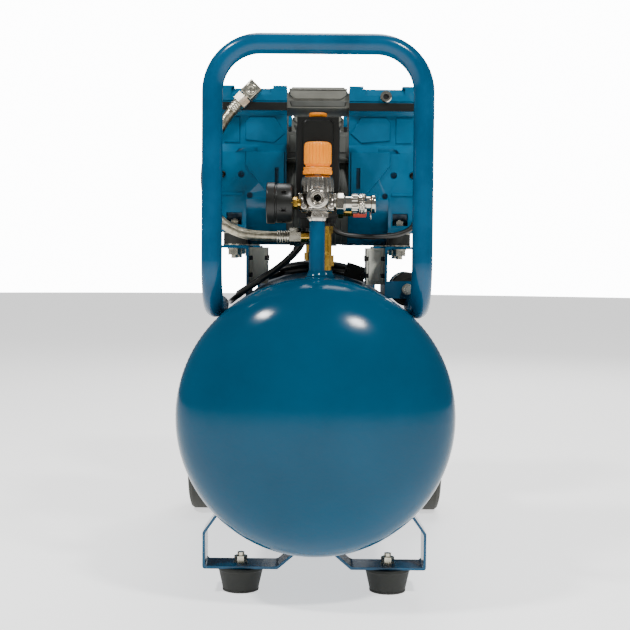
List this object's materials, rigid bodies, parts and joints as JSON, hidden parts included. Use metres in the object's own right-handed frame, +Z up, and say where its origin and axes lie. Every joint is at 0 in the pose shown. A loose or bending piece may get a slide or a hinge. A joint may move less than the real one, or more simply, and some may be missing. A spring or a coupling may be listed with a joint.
{
  "type": "air compressor",
  "caption": "Lying-tank oil-free workshop air compressor with a hoop handle, wheels, feet, pumps, regulator, gauge, switch and quick coupler.",
  "frame": {"origin": "the floor under the middle of the machine, without its mains lead", "axes": "+Z up, +Y along the tank from the handle end to the wheel end, +X to the coupler's side"},
  "size_m": [0.368, 0.788, 0.613],
  "materials": {
    "tank_paint": "glossy blue stoved paint on steel",
    "casting_paint": "satin blue paint on die-cast aluminium",
    "black_plastic": "moulded black plastic",
    "grey_plastic": "dark grey moulded plastic",
    "orange_plastic": "moulded orange plastic",
    "cap_grey": "light grey capacitor case",
    "rubber": "black moulded rubber",
    "tyre": "black solid rubber tyre",
    "chrome": "chromed zinc and steel",
    "zinc": "zinc-plated steel",
    "steel": "ground steel",
    "aluminium": "die-cast aluminium",
    "brass": "turned brass",
    "braid": "stainless wire braid",
    "cable": "black cable sheath"
  },
  "bodies": {
    "frame": {"tank_barrel": "tank_paint", "tank_heads": "tank_paint", "tank_bungs": "tank_paint", "carry_handle": "tank_paint", "foot_brackets": "tank_paint", "wheel_brackets": "tank_paint", "right_pump_brackets": "tank_paint", "left_pump_brackets": "tank_paint", "riser_pipe": "tank_paint", "front_crankcases": "casting_paint", "rear_crankcases": "casting_paint", "cylinder_heads": "casting_paint", "fan_guards": "black_plastic", "switch_base": "black_plastic", "switch_cover": "black_plastic", "switch_contacts": "black_plastic", "gauge_case": "black_plastic", "mains_plug": "black_plastic", "valve_plates": "black_plastic", "air_ducts": "grey_plastic", "motor_shells": "grey_plastic", "capacitors": "cap_grey", "rubber_feet": "rubber", "rubber_mounts": "rubber", "regulator_body": "chrome", "regulator_bonnet": "chrome", "coupler_body": "chrome", "fasteners": "zinc", "wheel_axles": "zinc", "hose_fittings": "zinc", "stators": "steel", "bearings": "steel", "check_valves": "brass", "drain_valve_body": "brass", "safety_valve_body": "brass", "front_delivery_hose": "braid", "rear_delivery_hose": "braid", "front_motor_lead": "cable", "rear_motor_lead": "cable", "mains_lead": "cable", "mains_coil": "cable"},
    "left_wheel": {"left_wheel_hub": "black_plastic", "left_wheel_tyre": "tyre"},
    "right_wheel": {"right_wheel_hub": "black_plastic", "right_wheel_tyre": "tyre"},
    "front_crank": {"front_rotor": "steel", "front_fans": "orange_plastic"},
    "rear_crank": {"rear_rotor": "steel", "rear_fans": "orange_plastic"},
    "front_left_piston": {"front_left_piston": "aluminium"},
    "front_right_piston": {"front_right_piston": "aluminium"},
    "rear_left_piston": {"rear_left_piston": "aluminium"},
    "rear_right_piston": {"rear_right_piston": "aluminium"},
    "regulator_collar": {"regulator_collar": "orange_plastic"},
    "regulator_knob": {"regulator_knob": "orange_plastic"},
    "switch_knob": {"switch_knob": "orange_plastic"},
    "coupler_sleeve": {"coupler_sleeve": "chrome"},
    "safety_valve_ring": {"safety_valve_ring": "chrome"},
    "drain_valve_handle": {"drain_valve_handle": "black_plastic"},
    "gauge_needle": {"gauge_needle": "orange_plastic"}
  },
  "joints": [
    {"name": "left_wheel_spin", "type": "hinge", "parent": "frame", "child": "left_wheel", "pos_m": [-0.165, 0.216, 0.075], "axis": [1, 0, 0], "continuous": true},
    {"name": "right_wheel_spin", "type": "hinge", "parent": "frame", "child": "right_wheel", "pos_m": [0.165, 0.216, 0.075], "axis": [1, 0, 0], "continuous": true},
    {"name": "front_crank_spin", "type": "hinge", "parent": "frame", "child": "front_crank", "pos_m": [0, -0.14, 0.446], "axis": [1, 0, 0], "continuous": true},
    {"name": "front_left_piston_stroke", "type": "slide", "parent": "frame", "child": "front_left_piston", "axis": [0, 0, 1], "range_m": [-0.005, 0.005]},
    {"name": "front_right_piston_stroke", "type": "slide", "parent": "frame", "child": "front_right_piston", "axis": [0, 0, 1], "range_m": [-0.005, 0.005]},
    {"name": "rear_crank_spin", "type": "hinge", "parent": "frame", "child": "rear_crank", "pos_m": [0, 0.165, 0.446], "axis": [1, 0, 0], "continuous": true},
    {"name": "rear_left_piston_stroke", "type": "slide", "parent": "frame", "child": "rear_left_piston", "axis": [0, 0, 1], "range_m": [-0.005, 0.005]},
    {"name": "rear_right_piston_stroke", "type": "slide", "parent": "frame", "child": "rear_right_piston", "axis": [0, 0, 1], "range_m": [-0.005, 0.005]},
    {"name": "regulator_knob_lift", "type": "slide", "parent": "frame", "child": "regulator_collar", "axis": [0, 0, 1], "range_m": [0, 0.003]},
    {"name": "regulator_knob_turn", "type": "hinge", "parent": "regulator_collar", "child": "regulator_knob", "pos_m": [0, -0.29, 0.48], "axis": [0, 0, 1], "range_deg": [-540, 540]},
    {"name": "switch_knob_pull", "type": "slide", "parent": "frame", "child": "switch_knob", "axis": [0, 0, 1], "range_m": [0, 0.004]},
    {"name": "coupler_sleeve_release", "type": "slide", "parent": "frame", "child": "coupler_sleeve", "axis": [-1, 0, 0], "range_m": [0, 0.004], "stiffness_N_per_m": 1500},
    {"name": "safety_ring_pull", "type": "slide", "parent": "frame", "child": "safety_valve_ring", "axis": [1, 0, 0], "range_m": [0, 0.003], "stiffness_N_per_m": 1500},
    {"name": "drain_valve_turn", "type": "hinge", "parent": "frame", "child": "drain_valve_handle", "pos_m": [0, 0, 0.03], "axis": [0, 0, 1], "range_deg": [0, 270]},
    {"name": "gauge_needle_swing", "type": "hinge", "parent": "frame", "child": "gauge_needle", "pos_m": [-0.05, -0.29, 0.435], "axis": [1, 0, 0], "range_deg": [0, 270], "stiffness_Nm_per_rad": 0.001}
  ],
  "couplings": [
    {"joint": "front_right_piston_stroke", "follows": "front_left_piston_stroke", "ratio": -1},
    {"joint": "rear_right_piston_stroke", "follows": "rear_left_piston_stroke", "ratio": -1}
  ]
}
